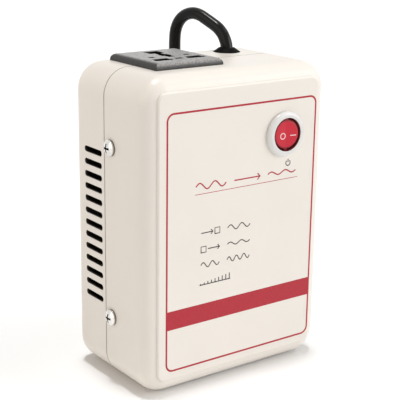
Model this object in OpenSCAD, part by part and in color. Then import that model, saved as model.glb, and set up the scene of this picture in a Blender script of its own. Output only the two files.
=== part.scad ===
// Travel voltage converter: a two-part steel case with a socket on top, a round
// rocker switch on the front, a transformer inside and a mains lead with its plug.
// Millimetres. The front faces -Y, and the floor under the feet is at Z = 0.

/* [Case] */
// Width of the case
case_w = 111; // [106:1:130]
// Depth of the case, from the raised front panel to the back
case_d = 66; // [64:1:80]
// Height of the case, without its feet
case_h = 157; // [152:1:180]
// Rounding of the four corners, seen from the front
corner_r = 13.5; // [11:0.5:16]
// Rounding of the front and back edges
edge_r = 8; // [6:0.5:9]
// Thickness of the sheet steel
wall = 1.5; // [1:0.1:1.8]
// Distance of the seam behind the middle of the case
seam_y = 3; // [1:0.5:5]
// Width of the open line between the two halves of the case
seam_gap = 0.3; // [0.1:0.05:0.6]
// Margin between the raised front panel and the sides of the case
panel_margin = 7; // [7:0.5:12]
// Height of the raised front panel
panel_rise = 1; // [0.6:0.1:1.5]
// Rounding of the raised panel's corners
panel_r = 5; // [4:0.5:8]
// Rounding of the raised panel's edge
panel_edge = 0.9; // [0.4:0.1:1]

/* [Vents] */
// Number of vent slots in each side
vent_count = 13; // [4:1:14]
// Distance from slot to slot
vent_pitch = 6.25; // [5:0.25:6.5]
// Length of a slot
vent_len = 16; // [10:0.5:18]
// Width of a slot
vent_w = 2.9; // [2:0.1:3.4]
// Distance of the slots behind the seam
vent_gap = 2.4; // [2:0.1:4]
// Height of the lowest slot above the case's bottom
vent_low = 40.3; // [38:0.1:50]

/* [Feet] */
// Diameter of a foot where it meets the case
foot_d = 12; // [8:0.5:16]
// Height of a foot
foot_h = 0.6; // [0.5:0.1:3]
// Distance between the left and right feet
foot_span_x = 68; // [50:1:70]
// Distance between the front and rear feet
foot_span_y = 31; // [28:1:32]

/* [Screws] */
// Shank diameter of the case screws and core bolts
screw_d = 3.9; // [3:0.1:4.4]
// Head diameter of the case screws and core bolts
head_d = 8.2; // [7:0.1:9]
// Head height of the case screws and core bolts
head_h = 2.8; // [2:0.1:3]
// Distance of the case screws in front of the seam
screw_front = 5.7; // [4.4:0.1:6.4]
// Height of the lower case screws above the case's bottom
screw_low = 33.6; // [27:0.1:38]
// Distance of the upper case screws below the case's top
screw_drop = 37.1; // [30:0.1:42]

/* [Switch] */
// Place of the switch to the right of the middle
switch_x = 27; // [18:0.5:30]
// Distance of the switch below the case's top
switch_drop = 34.5; // [28:0.5:50]
// Diameter of the bezel
bezel_d = 23; // [22.4:0.1:25]
// Height of the bezel
bezel_h = 2.4; // [2:0.1:2.8]
// Diameter of the switch barrel
barrel_d = 19.8; // [19.4:0.1:20.4]
// Diameter of the well that the rocker turns in
well_d = 16.8; // [16.4:0.1:17.2]
// Half of the rocker's swing
rock_tilt = 6; // [5:1:9]
// Slope of each half of the rocker's face
rocker_wing = 5; // [2:0.5:8]
// Diameter of the rocker's face inside its bevel
face_d = 13.2; // [12:0.1:14.4]

/* [Socket] */
// Width of the socket plate
plate_w = 39.2; // [38:0.1:44]
// Depth of the socket plate, from front to back
plate_d = 41; // [38:0.5:44]
// Thickness of the socket plate
plate_t = 3.4; // [3.2:0.1:4.5]
// Rounding of the plate's upper edges
plate_round = 2.9; // [1:0.1:3]
// Place of the socket to the left of the middle
socket_left = 19; // [17:0.5:20]
// Distance of the socket's middle behind the seam
socket_back = 1; // [0:0.5:2]
// Distance between the live and neutral apertures
pin_pitch = 19; // [18:0.1:20]
// Side of the square socket body
body_w = 33.6; // [33:0.1:34]
// Depth of the socket body under the plate
body_h = 20; // [18:0.5:24]

/* [Transformer] */
// Distance between the laminations and the sides of the case
core_side = 12.5; // [11:0.5:16]
// Distance between the windings and the front of the case, inside
core_front = 2.6; // [1:0.1:8]
// Length of the spacers between the stack and the back of the case
spacer_len = 15; // [14:0.5:16]
// Height of the core above the case's bottom
core_lift = 12; // [9:0.5:15]
// Thickness of each winding
winding_t = 5; // [3:0.1:5]

/* [Mains lead] */
// Diameter of the lead
cord_d = 6.4; // [5:0.1:6.4]
// Place of the lead's bushing to the right of the middle
lead_x = 28.7; // [20:0.1:32]
// Distance of the lead's bushing behind the middle of the case
lead_y = 17.5; // [13:0.1:17.6]
// Diameter of the bushing's flare
flare_d = 14.2; // [13:0.1:15]
// Height of the bushing's flare
flare_h = 2.1; // [2:0.1:5]

/* [Hidden] */
$fn = 64;
cut = 1;                   // how far a cutter runs past a face
slide_fit = 0.05;          // radial clearance of a pin in its hole
bolt_fit = 0.3;            // radial clearance of a screw in its hole
seat_gap = 0.1;            // clearance between parts that meet

// Case
case_z = foot_h + case_h / 2;
case_top = foot_h + case_h;
front_y = -case_d / 2;
back_y = case_d / 2;
front_d = seam_y - seam_gap - front_y - panel_rise;
rear_d = back_y - seam_y;
panel_w = case_w - 2 * panel_margin;
panel_h = case_h - 2 * panel_margin;
inner_x = case_w / 2 - wall;
tab_gap = 0.1;             // between a screw tab and the front shell
tab_reach = screw_front + 4.6;   // of a screw tab in front of the seam
tab_hold = 2;              // of a screw tab behind the seam
tab_w = 16;                // height of a screw tab
tab_x = inner_x - tab_gap - wall;
screw_y = seam_y - screw_front;
screw_zs = [foot_h + screw_low, case_top - screw_drop];
screw_len = 8;
nut_h = 3.2;
nut_d = 7.5;
recess_w = 1;              // of the cross in a screw's head
recess_len = 4.6;
recess_deep = 1.4;
foot_taper = 0.4;

// Switch, in its own frame: +Z out of the panel, the axle along Y
switch_z = case_top - switch_drop;
hole_clear = 0.2;          // of the barrel in the panel's hole
bezel_edge = 1.9;
barrel_len = 15;
barrel_floor = 1.5;
rocker_gap = 0.25;         // between the rocker and its well
rocker_r = well_d / 2 - rocker_gap;
rocker_dip = 1.2;          // height of the rocker's valley over the axle
rocker_bevel = 0.8;        // growth of the bevel's radius for each millimetre of depth
rocker_skirt = 2.5;
axle_d = 2.5;
axle_hold = 0.9;           // of the axle in the barrel's wall
axle_end_gap = 0.1;
stem_d = 6.4;
stem_len = 6.8;
bore_d = 4.2;
bore_top = 1.6;
plunger_len = 9;           // from the axle to the plunger's tip
plunger_d = 4;
plunger_h = 2.2;
tip_d = 2.6;
spring_r = 1.65;
spring_wire = 0.4;
spring_turns = 2.5;
lever_ratio = 0.8;         // the lever's swing for each degree of the rocker's
lever_tilt = rock_tilt * lever_ratio;
lever_wing = lever_tilt + rock_tilt / 2;
lever_gap = 0.25;          // between the plunger and the lever at mid swing
lever_rise = 0.95;         // of the lever's valley over its fulcrum
lever_z = -(plunger_len + lever_gap + lever_rise);
lever_half = 6;
lever_t = 0.8;
lever_w = 5;
fulcrum_d = 1.6;
pad_x = 4.8;
pad_d = 2.4;
pad_h = 0.7;
pad_gap = 0.35;            // under the lever's lowered pad
tab_t = 0.8;
tab_width = 4.8;
tab_len = 8;               // of a terminal behind the barrel
barrel_end = -barrel_len;
well_floor = barrel_end + barrel_floor;
tab_end = barrel_end - tab_len;
lead_tab_y = front_y - tab_end + seat_gap;

// Socket
socket_y = seam_y + socket_back;
hole_w = body_w + 1;       // side of the opening in the case's top
pin_v = -10.6;             // of the live and neutral apertures from the middle
pin_w = 8.4;
pin_h = 5.6;
blade_w = 10.8;
blade_h = 2.2;
blade_v = -1.1;
earth_v = 11;
earth_w = 8.4;
earth_h = 7;
earth_steps = [[3.6, 14, 1.9], [5.6, 5, 1.3]];   // width, length and place of each step
centre_slot = [4.4, 3];
side_slot = [3.2, 2.6];
side_slot_at = [10.2, -2.4];
pocket_w = 11.6;
pocket_h = 7.2;
pocket_floor = 3;
earth_pocket = [10, 20.4];
earth_pocket_v = 4.4;
latch_w = 8;
latch_out = 1.4;
latch_drop = 4.5;
contact_t = 0.8;
contact_gap = 4.4;         // between a contact's leaves
contact_w = 6;
contact_h = 11;
contact_tab = 5;
contact_z = case_top - body_h + pocket_floor;
lead_socket_z = contact_z - pocket_floor - contact_tab - seat_gap;

// Transformer: the room in the case sets the laminations and their stack
bobbin_t = 1.2;
bobbin_gap = 0.3;          // between the bobbin and the core
wrap_t = 0.5;
flange_edge = 0.4;         // of a flange past the wrap
flange_out = bobbin_t + 2 * winding_t + wrap_t + flange_edge;
core_w = case_w - 2 * core_side;
stack = case_d - panel_rise - 2 * wall - spacer_len - core_front - flange_out - bobbin_gap;
leg = core_w / 6;
core_e_h = core_w * 2 / 3;
core_z = foot_h + core_lift;
core_back = back_y - wall - spacer_len;
core_y = core_back - stack / 2;
window_h = core_w / 2;
bolt_x = core_w / 2 - leg / 2;
bolt_zs = [core_z + leg / 2, core_z + core_e_h + leg / 2];
bobbin_in = [2 * leg + 2 * bobbin_gap, stack + 2 * bobbin_gap];
bobbin_h = window_h - 2 * bobbin_gap;
bobbin_z = core_z + leg + bobbin_gap;
winding_r = 2;
flange_top = bobbin_z + bobbin_h;
spacer_d = 8;
bolt_end = 1.5;            // of a bolt past its nut
core_nut_h = 3.2;
core_nut_d = 8;
cutout = [16, 7, 4];       // size of the thermal cut-out
cutout_x = 8;
over_front = core_y - stack / 2 - flange_out / 2;
over_back = core_y + stack / 2 + flange_out / 2;

// Mains lead: the places of its free run, in order from the bushing to the coil
bush_hole_d = 11;
bush_top_d = 8.3;
bush_neck = 14;            // inside the case
bush_neck_d = 8.6;
bush_flange_d = 13.5;
bush_flange_t = 1.4;
bush_mouth = 1.5;          // depth of the funnel that the lead leans in
mouth_flare = 0.4;         // growth of the funnel's radius up to the flare's top
inner_end = 17;            // of the lead inside the case, below its top
cord_bottom = case_top + flare_h - bush_mouth;
loop_heading = 104;        // of the loop's upright plane, from +X towards +Y
loop_steps = [             // along that plane and up, from the bushing's funnel
    [0, 0], [0, 0.6], [0.4, 3.2], [1.5, 5.9], [3.3, 8.6], [6.3, 11.2], [10.2, 13.2], [14.3, 15.1],
    [18.4, 16.8], [22.8, 17.5], [27.2, 16.7], [31, 14.6], [33.9, 11.3], [35.6, 7.1], [36.1, 2.7], [36.2, -1.8]
];
loop_points = [for (p = loop_steps)
    [lead_x + p[0] * cos(loop_heading), lead_y + p[0] * sin(loop_heading), cord_bottom + p[1]]];
fall_at = loop_points[len(loop_points) - 1];   // where the lead starts to fall behind the case
fall_floor = [fall_at[0], fall_at[1], 0];
fall_low = 25;             // where it starts to bend along the floor
fall_parts = 7;
foot_steps = [             // of the bend, from the floor under the fall
    [1.5, 0, 16.5], [5.9, 0, 10], [12.3, 0, 5.7], [20, 0, 4.1], [23.8, 0, 4.1]
];
run_points = concat(
    loop_points,
    [for (i = [1 : fall_parts]) fall_floor + [0, 0, fall_at[2] + (fall_low - fall_at[2]) * i / fall_parts]],
    [for (p = foot_steps) fall_floor + p]
);
coil_outer = 38.5;
coil_at = fall_floor + [30, coil_outer, 4.1];   // middle of the coil's lower layer
coil_step = 7.5;           // from turn to turn and from layer to layer
coil_in = 2;               // turns of the lower layer, going in
coil_climb = 0.5;          // turns of the climb
coil_out = 1.5;            // turns of the upper layer, going out
coil_rings = 24;           // rings in one turn
coil_end_x = 6.2;          // straight stretch at each end
tail_steps = [             // of the tail, from the coil's middle
    [6.2, -34.75, 7.5], [9.2, -34.75, 7.5], [14, -34.75, 8.2], [19, -34.75, 9.6], [24.5, -34.7, 11.2],
    [30, -33.4, 12.7], [35.4, -29.7, 14], [39, -24.1, 15.2], [40.4, -17.5, 16.1], [39, -10.9, 16.9],
    [35.4, -5.3, 17.4], [30, -1.5, 17.7], [23.5, 0, 17.75], [20, 0, 17.75]
];
tail_points = [for (p = tail_steps) coil_at + p];
tie_t = 0.8;
tie_w = 9;
tie_gap = 0.2;             // above the coil
tie_side = 0.8;            // beside the coil, where its turns curve
plug_at = tail_points[len(tail_points) - 1];
relief_len = 14;
relief_d = 10;
plug_len = 30;
plug_w = 35.3;
plug_t = 13.7;
plug_back_w = 17;
plug_back_t = 11;
prong_d = 4;
prong_len = 19;
prong_in = 8;
prong_pitch = 19;
wire_d = 2.4;              // of the leads inside the case
wire_pair = 1.6;           // of the two cores from the lead's middle

case_colour = [0.91, 0.89, 0.84];
black = [0.13, 0.13, 0.13];
brass_colour = [0.80, 0.62, 0.28];
steel_colour = [0.72, 0.73, 0.75];
copper = [0.72, 0.40, 0.22];

// Shapes used more than once

// Rectangle with round corners, about the origin
module rounded_rect(w, h, r) {
    square([w - 2 * r, h], center = true);
    square([w, h - 2 * r], center = true);
    for (x = [-1, 1], y = [-1, 1])
        translate([x * (w / 2 - r), y * (h / 2 - r)]) circle(r);
}

// Half section of a round slab, rounded by f at its upper rim
module rim_section(r, f, d) {
    square([r, d - f]);
    square([r - f, d]);
    translate([r - f, d - f]) intersection() {
        circle(f);
        square(f);
    }
}

// Slab with corners rounded by r and its upper edge rounded by f
module pan(w, h, r, f, d) {
    translate([-w / 2 + r, -h / 2 + r, 0]) cube([w - 2 * r, h - 2 * r, d]);
    for (turn = [0, 180]) rotate(turn) {
        translate([0, h / 2 - r, 0]) rotate([90, 0, 90])
            linear_extrude(w - 2 * r, center = true) rim_section(r, f, d);
        translate([w / 2 - r, 0, 0]) rotate([90, 0, 0])
            linear_extrude(h - 2 * r, center = true) rim_section(r, f, d);
        translate([w / 2 - r, h / 2 - r, 0]) rotate_extrude(angle = 90) rim_section(r, f, d);
        translate([w / 2 - r, -h / 2 + r, 0]) rotate(-90) rotate_extrude(angle = 90) rim_section(r, f, d);
    }
}

// Places a slab that is built on the seam, facing the front or the back
module face_front() { translate([0, seam_y - seam_gap, case_z]) rotate([90, 0, 0]) children(); }
module face_back() { translate([0, seam_y, case_z]) rotate([-90, 0, 0]) children(); }

// One half of the hollow case, with its open side on the seam
module case_half(d) {
    difference() {
        pan(case_w, case_h, corner_r, edge_r, d);
        translate([0, 0, -cut])
            pan(case_w - 2 * wall, case_h - 2 * wall, corner_r - wall, edge_r - wall, d - wall + cut);
    }
}

// Screw along -Z with a domed head on Z = 0
module pan_screw(len) {
    dome = head_h / 2;
    dome_r = (head_d * head_d / 4 + dome * dome) / (2 * dome);
    translate([0, 0, -len]) cylinder(d = screw_d, h = len);
    difference() {
        intersection() {
            cylinder(d = head_d, h = head_h);
            translate([0, 0, head_h - dome_r]) sphere(dome_r);
        }
        for (turn = [0, 90]) rotate(turn)
            translate([-recess_len / 2, -recess_w / 2, head_h - recess_deep])
                cube([recess_len, recess_w, recess_deep + cut]);
    }
}

// Repeats its children at the four case screws, +Z pointing out of the side
module at_case_screws() {
    for (side = [-1, 1], z = screw_zs)
        translate([side * case_w / 2, screw_y, z]) rotate([0, side * 90, 0]) children();
}

// Repeats its children at the four core bolts, +Z pointing out of the back
module at_core_bolts() {
    for (side = [-1, 1], z = bolt_zs)
        translate([side * bolt_x, back_y, z]) rotate([-90, 0, 0]) children();
}

// Screw hole through one wall
module wall_hole() {
    translate([0, 0, -wall - cut]) cylinder(d = screw_d + 2 * bolt_fit, h = wall + 2 * cut);
}

module at_switch() { translate([switch_x, front_y, switch_z]) rotate([90, 0, 0]) children(); }
module at_socket() { translate([-socket_left, socket_y, case_top]) children(); }

// Points of a smooth bow between two ends, each with its own direction and pull
function bow(a, pull_a, b, pull_b, n = 12) = [
    for (i = [0 : n]) let (t = i / n, s = 1 - t)
        s * s * s * a + 3 * s * s * t * (a + pull_a) + 3 * s * t * t * (b + pull_b) + t * t * t * b
];

function unit(v) = v / norm(v);
function heading(p, i) = unit(p[min(i + 1, len(p) - 1)] - p[max(i - 1, 0)]);

// Side vectors along a path, each turned as little as possible from the one before
function sides_of(p, last, i = 0) = i >= len(p) ? [] :
    let (t = heading(p, i), n = unit(last - (last * t) * t))
    concat([n], sides_of(p, n, i + 1));

// Tube of n sides swept along the points p, starting with the side vector first
module tube(p, r, n, first = [0, 1, 0]) {
    side = sides_of(p, first);
    last = len(p) - 1;
    points = [
        for (i = [0 : last]) let (t = heading(p, i), b = cross(t, side[i]))
            for (k = [0 : n - 1])
                p[i] + r * (cos(360 * k / n) * side[i] + sin(360 * k / n) * b)
    ];
    skin = [
        for (i = [0 : last - 1], k = [0 : n - 1])
            let (a = i * n + k, b = i * n + (k + 1) % n)
                each [[a, a + n, b + n], [a, b + n, b]]
    ];
    ends = [
        for (k = [1 : n - 2]) each [[0, k, k + 1], [last * n, last * n + k + 1, last * n + k]]
    ];
    polyhedron(points, concat(skin, ends), convexity = 6);
}

// Case

module switch_hole() {
    at_switch() translate([0, 0, -wall - panel_rise - cut])
        cylinder(d = barrel_d + 2 * hole_clear, h = wall + 2 * panel_rise + 2 * cut);
}

module socket_hole() {
    at_socket() translate([-hole_w / 2, -hole_w / 2, -wall - cut]) cube([hole_w, hole_w, wall + 2 * cut]);
}

module front_shell() {
    color(case_colour) difference() {
        union() {
            face_front() case_half(front_d);
            face_front() translate([0, 0, front_d - wall])
                pan(panel_w, panel_h, panel_r, panel_edge, wall + panel_rise);
        }
        face_front() translate([0, 0, front_d - wall - cut]) linear_extrude(panel_rise + cut)
            rounded_rect(panel_w - 2 * wall, panel_h - 2 * wall, panel_r - wall);
        switch_hole();
        socket_hole();
        at_case_screws() wall_hole();
    }
}

// Flat tab of the rear shell, offset to lie inside the front shell
module screw_tab() {
    linear_extrude(tab_w, center = true) {
        translate([tab_x, seam_y - tab_reach]) square([wall, tab_reach + tab_hold]);
        translate([tab_x, seam_y + tab_gap]) square([2 * wall, tab_hold - tab_gap]);
    }
}

// Upright slots in the sides of the rear shell
module vents() {
    reach = case_w / 2 + cut;
    for (i = [0 : vent_count - 1])
        translate([0, seam_y + vent_gap + vent_len / 2, foot_h + vent_low + i * vent_pitch])
            for (side = [-1, 1])
                translate([side * reach, 0, 0]) rotate([0, -side * 90, 0])
                    linear_extrude(wall + 2 * cut) rounded_rect(vent_w, vent_len, vent_w / 2 - 0.01);
}

module rear_shell() {
    color(case_colour) difference() {
        union() {
            face_back() case_half(rear_d);
            for (turn = [0, 1], z = screw_zs) translate([0, 0, z]) mirror([turn, 0, 0]) screw_tab();
        }
        vents();
        socket_hole();
        translate([lead_x, lead_y, case_top - wall - cut]) cylinder(d = bush_hole_d, h = wall + 2 * cut);
        at_case_screws() translate([0, 0, -wall - tab_gap]) wall_hole();
        at_core_bolts() wall_hole();
    }
}

module case_screws() { color(steel_colour) at_case_screws() pan_screw(screw_len); }

module clinch_nuts() {
    color(steel_colour) at_case_screws() translate([0, 0, tab_x - case_w / 2 - nut_h]) difference() {
        cylinder(d = nut_d, h = nut_h);
        translate([0, 0, -cut]) cylinder(d = screw_d + 2 * slide_fit, h = nut_h + 2 * cut);
    }
}

module rubber_feet() {
    color(black) for (x = [-1, 1], y = [-1, 1])
        translate([x * foot_span_x / 2, y * foot_span_y / 2, 0])
            cylinder(d1 = foot_d - 2 * foot_taper, d2 = foot_d, h = foot_h);
}

// Socket

// Section across the plate, w wide, with its upper edges rounded
module plate_section(w) {
    for (turn = [0, 1]) mirror([turn, 0]) rim_section(w / 2, plate_round, plate_t);
}

// Outline of one live or neutral aperture, for round, square and flat pins
module pin_outline() {
    square([pin_w, pin_h], center = true);
    translate([0, blade_v]) square([blade_w, blade_h], center = true);
}

// Outline of the stepped earth aperture
module earth_outline() {
    translate([0, earth_v]) square([earth_w, earth_h], center = true);
    for (step = earth_steps) translate([0, step[2]]) square([step[0], step[1]], center = true);
}

module socket_plate() {
    color(black) at_socket() difference() {
        intersection() {
            rotate([90, 0, 0]) linear_extrude(plate_d, center = true) plate_section(plate_w);
            rotate([90, 0, 90]) linear_extrude(plate_w, center = true) plate_section(plate_d);
        }
        translate([0, 0, -cut]) linear_extrude(plate_t + 2 * cut) {
            for (side = [-1, 1]) translate([side * pin_pitch / 2, pin_v]) pin_outline();
            earth_outline();
            translate([0, pin_v]) square(centre_slot, center = true);
            for (side = [-1, 1])
                translate([side * side_slot_at[0], side_slot_at[1]]) square(side_slot, center = true);
        }
    }
}

module socket_body() {
    color(black) at_socket() difference() {
        union() {
            translate([-body_w / 2, -body_w / 2, -body_h]) cube([body_w, body_w, body_h]);
            for (turn = [0, 180]) rotate([90, 0, turn]) linear_extrude(latch_w, center = true)
                polygon([
                    [body_w / 2 - cut, -wall - seat_gap], [body_w / 2 + latch_out, -wall - seat_gap],
                    [body_w / 2, -wall - latch_drop], [body_w / 2 - cut, -wall - latch_drop]
                ]);
        }
        for (side = [-1, 1]) translate([side * pin_pitch / 2, pin_v, pocket_floor - body_h]) {
            translate([-pocket_w / 2, -pocket_h / 2, 0]) cube([pocket_w, pocket_h, body_h]);
            contact_slit();
        }
        translate([0, earth_pocket_v, pocket_floor - body_h]) {
            translate([-earth_pocket[0] / 2, -earth_pocket[1] / 2, 0])
                cube([earth_pocket[0], earth_pocket[1], body_h]);
            translate([0, earth_v - earth_pocket_v, 0]) contact_slit();
        }
    }
}

// Slit in the socket's floor for a contact's tab
module contact_slit() {
    translate([-tab_width / 2 - seat_gap, -contact_t / 2 - seat_gap, -pocket_floor - cut])
        cube([tab_width + 2 * seat_gap, contact_t + 2 * seat_gap, pocket_floor + 2 * cut]);
}

// Spring contact: a base, two leaves and a tab that reaches out of the socket
module contact(w) {
    outside = contact_gap + 2 * contact_t;
    translate([-w / 2, -outside / 2, 0]) cube([w, outside, contact_t]);
    for (side = [-1, 1])
        translate([-w / 2, side * (contact_gap + contact_t) / 2 - contact_t / 2, 0])
            cube([w, contact_t, contact_h]);
    translate([-tab_width / 2, -contact_t / 2, -pocket_floor - contact_tab])
        cube([tab_width, contact_t, pocket_floor + contact_tab + contact_t]);
}

module at_contact(x, y) { translate([-socket_left + x, socket_y + y, contact_z]) children(); }
module live_contact() { color(brass_colour) at_contact(-pin_pitch / 2, pin_v) contact(contact_w); }
module neutral_contact() { color(brass_colour) at_contact(pin_pitch / 2, pin_v) contact(contact_w); }
module earth_contact() { color(brass_colour) at_contact(0, earth_v) contact(contact_w + 2); }

// Switch

module terminal_slot(x) {
    translate([x - tab_t / 2 - seat_gap, -tab_width / 2 - seat_gap, barrel_end - cut])
        cube([tab_t + 2 * seat_gap, tab_width + 2 * seat_gap, barrel_floor + 2 * cut]);
}

module switch_housing() {
    color("white") at_switch() difference() {
        union() {
            rotate_extrude() rim_section(bezel_d / 2, bezel_edge, bezel_h);
            translate([0, 0, barrel_end]) cylinder(d = barrel_d, h = barrel_len + cut);
        }
        translate([0, 0, well_floor]) cylinder(d = well_d, h = barrel_len + bezel_h + cut);
        rotate([90, 0, 0])
            cylinder(d = axle_d + 2 * slide_fit, h = well_d + 2 * axle_hold, center = true);
        terminal_slot(0);
        terminal_slot(-pad_x);
    }
}

// Turns its children with the rocker, which rests with its left side pressed in
module with_rocker() { at_switch() rotate([0, -rock_tilt, 0]) children(); }

module switch_rocker() {
    reach = rocker_r + cut;
    edge = rocker_dip + reach * tan(rocker_wing);
    deep = edge + rocker_skirt;
    color("red") with_rocker() difference() {
        union() {
            intersection() {
                sphere(rocker_r);
                rotate([90, 0, 0]) linear_extrude(2 * reach, center = true)
                    polygon([
                        [-reach, -rocker_skirt], [reach, -rocker_skirt],
                        [reach, edge], [0, rocker_dip], [-reach, edge]
                    ]);
                translate([0, 0, -rocker_skirt])
                    cylinder(d1 = face_d + 2 * rocker_bevel * deep, d2 = face_d, h = deep);
            }
            translate([0, 0, -stem_len]) cylinder(d = stem_d, h = stem_len);
            rotate([90, 0, 0])
                cylinder(d = axle_d, h = well_d + 2 * (axle_hold - axle_end_gap), center = true);
        }
        translate([0, 0, -stem_len - cut]) cylinder(d = bore_d, h = stem_len + cut - bore_top);
    }
}

module rocker_plunger() {
    color(brass_colour) with_rocker() {
        translate([0, 0, -stem_len]) cylinder(d = plunger_d, h = plunger_h);
        translate([0, 0, tip_d / 2 - plunger_len]) {
            sphere(d = tip_d);
            cylinder(d = tip_d, h = plunger_len - stem_len);
        }
    }
}

module rocker_spring() {
    low = -stem_len + plunger_h + spring_wire;
    high = -bore_top - spring_wire;
    rings = 8 * spring_turns;
    path = [
        for (i = [0 : rings]) let (a = 360 * i * spring_turns / rings)
            [spring_r * cos(a), spring_r * sin(a), low + (high - low) * i / rings]
    ];
    echo(spring_gap = (high - low) / spring_turns - spring_wire);
    color(steel_colour) with_rocker() tube(path, spring_wire / 2, 6, [1, 0, 0]);
}

module contact_lever() {
    tip = lever_rise + lever_half * tan(lever_wing);
    pad_z = lever_rise + pad_x * tan(lever_wing) - lever_t / cos(lever_wing);
    color(brass_colour) at_switch() translate([0, 0, lever_z]) rotate([0, lever_tilt, 0]) {
        rotate([90, 0, 0]) linear_extrude(lever_w, center = true)
            polygon([
                [-lever_half, tip], [0, lever_rise], [lever_half, tip],
                [lever_half, tip - lever_t], [0, lever_rise - lever_t], [-lever_half, tip - lever_t]
            ]);
        rotate([90, 0, 0]) cylinder(d = fulcrum_d, h = lever_w, center = true);
        for (side = [-1, 1]) translate([side * pad_x, 0, pad_z]) rotate([0, -side * lever_wing, 0])
            cylinder(d = pad_d, h = pad_h, center = true);
    }
}

// Terminal: a block on the barrel's floor and a tab behind the barrel
module terminal(x, w, top) {
    translate([x - w / 2, -tab_width / 2, well_floor]) cube([w, tab_width, top - well_floor]);
    translate([x - tab_t / 2, -tab_width / 2, tab_end])
        cube([tab_t, tab_width, well_floor - tab_end + tab_t]);
}

module common_terminal() {
    color(brass_colour) at_switch() difference() {
        terminal(0, 2 * fulcrum_d, lever_z - fulcrum_d / 8);
        translate([0, 0, lever_z]) rotate([90, 0, 0])
            cylinder(d = fulcrum_d + 2 * slide_fit, h = tab_width + 2 * cut, center = true);
    }
}

module load_terminal() { color(brass_colour) at_switch() terminal(-pad_x, pad_d, lever_z - pad_gap); }

// Transformer

// Lamination bar of the given width and height, extruded through the stack
module bar(x, z, w, h) {
    translate([x, core_y - stack / 2, core_z + z]) cube([w, stack, h]);
}

module bolt_ways() {
    at_core_bolts() translate([0, 0, -case_d]) cylinder(d = screw_d + 2 * bolt_fit, h = case_d);
}

module core_e() {
    color([0.45, 0.46, 0.48]) difference() {
        union() {
            bar(-core_w / 2, 0, core_w, leg);
            bar(-core_w / 2, 0, leg, core_e_h);
            bar(core_w / 2 - leg, 0, leg, core_e_h);
            bar(-leg, 0, 2 * leg, core_e_h);
        }
        bolt_ways();
    }
}

module core_i() {
    color([0.5, 0.51, 0.53]) difference() {
        bar(-core_w / 2, core_e_h, core_w, leg);
        bolt_ways();
    }
}

// Upright rectangular ring about the centre leg, grown from the bobbin's bore
module coil_ring(from, thick, h, z, r) {
    translate([0, core_y, z]) linear_extrude(h) difference() {
        rounded_rect(bobbin_in[0] + 2 * (from + thick), bobbin_in[1] + 2 * (from + thick), r);
        square([bobbin_in[0] + 2 * from, bobbin_in[1] + 2 * from], center = true);
    }
}

module bobbin() {
    color([0.85, 0.82, 0.72]) {
        coil_ring(0, bobbin_t, bobbin_h, bobbin_z, 0.5);
        for (z = [bobbin_z, flange_top - bobbin_t]) coil_ring(0, flange_out, bobbin_t, z, winding_r);
    }
}

winding_h = bobbin_h - 2 * bobbin_t;
winding_z = bobbin_z + bobbin_t;
module common_winding() {
    color(copper) coil_ring(bobbin_t, winding_t, winding_h, winding_z, 0.5);
}
module series_winding() {
    color(copper) coil_ring(bobbin_t + winding_t, winding_t, winding_h, winding_z, 0.5);
}
module winding_wrap() {
    color([0.93, 0.80, 0.30]) coil_ring(bobbin_t + 2 * winding_t, wrap_t, winding_h, winding_z, 0.6);
}

bolt_len = back_y - core_back + stack + core_nut_h + bolt_end;
module core_bolts() { color(steel_colour) at_core_bolts() pan_screw(bolt_len); }

module core_spacers() {
    color(steel_colour) at_core_bolts() translate([0, 0, core_back - back_y]) difference() {
        cylinder(d = spacer_d, h = spacer_len);
        translate([0, 0, -cut]) cylinder(d = screw_d + 2 * slide_fit, h = spacer_len + 2 * cut);
    }
}

module core_nuts() {
    deep = back_y - core_back + stack + core_nut_h;
    color(steel_colour) at_core_bolts() translate([0, 0, -deep]) difference() {
        cylinder(d = core_nut_d, h = core_nut_h, $fn = 6);
        translate([0, 0, -cut]) cylinder(d = screw_d + 2 * slide_fit, h = core_nut_h + 2 * cut);
    }
}

module thermal_cutout() {
    color([0.2, 0.2, 0.22]) translate([cutout_x, over_front, flange_top])
        linear_extrude(cutout[2]) rounded_rect(cutout[0], cutout[1], 1);
}

// Wires inside the case

drop = [0, 0, 25];
module wire(a, pull_a, b, pull_b, tint) {
    color(tint) tube(bow(a, pull_a, b, pull_b), wire_d / 2, 8, [1, 0, 0]);
}

core_start = [lead_x, lead_y, case_top - inner_end - seat_gap];
module live_in_wire() {
    wire(core_start - [wire_pair, 0, 0], -drop / 2, [switch_x, lead_tab_y, switch_z], [0, 12, 0], "brown");
}
module switched_wire() {
    wire([switch_x - pad_x, lead_tab_y, switch_z], [0, 12, 0],
        [cutout_x, over_front, flange_top + cutout[2] + seat_gap], 1.4 * drop, "brown");
}
module neutral_in_wire() {
    wire(core_start + [wire_pair, 0, 0], -drop,
        [bobbin_in[0] / 2, over_back, flange_top + seat_gap], drop, "steelblue");
}
module live_out_wire() {
    wire([-bobbin_in[0] / 3, over_back, flange_top + seat_gap], drop,
        [-socket_left - pin_pitch / 2, socket_y + pin_v, lead_socket_z], -drop, "brown");
}
module neutral_out_wire() {
    wire([-bobbin_in[0] / 3, over_front, flange_top + seat_gap], drop,
        [-socket_left + pin_pitch / 2, socket_y + pin_v, lead_socket_z], -drop, "steelblue");
}

// Mains lead

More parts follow.
